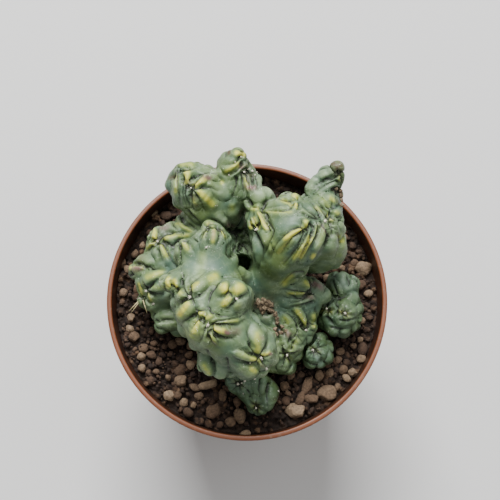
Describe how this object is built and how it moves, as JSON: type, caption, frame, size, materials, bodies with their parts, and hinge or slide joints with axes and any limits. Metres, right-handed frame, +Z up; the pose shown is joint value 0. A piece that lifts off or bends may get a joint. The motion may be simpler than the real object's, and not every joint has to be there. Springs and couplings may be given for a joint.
{
  "type": "potted cactus",
  "caption": "Monstrose blue myrtle cactus with knobbly branching heads and small offsets, standing in gritty soil in a round tapered nursery pot.",
  "frame": {"origin": "centre of the pot's base, on the surface it stands on", "axes": "+Z up along the pot's axis, +X to the right and +Y away from the viewer in the picture"},
  "size_m": [0.105, 0.105, 0.1346],
  "materials": {
    "terracotta_plastic": "terracotta-coloured moulded plastic, satin",
    "gritty_soil": null,
    "waxy_skin": null,
    "offset_skin": null
  },
  "bodies": {
    "root": {"pot": "terracotta_plastic", "soil": "gritty_soil", "cactus": "waxy_skin", "offset_right": "offset_skin", "offset_front_right": "offset_skin", "offset_front": "offset_skin"}
  },
  "joints": []
}
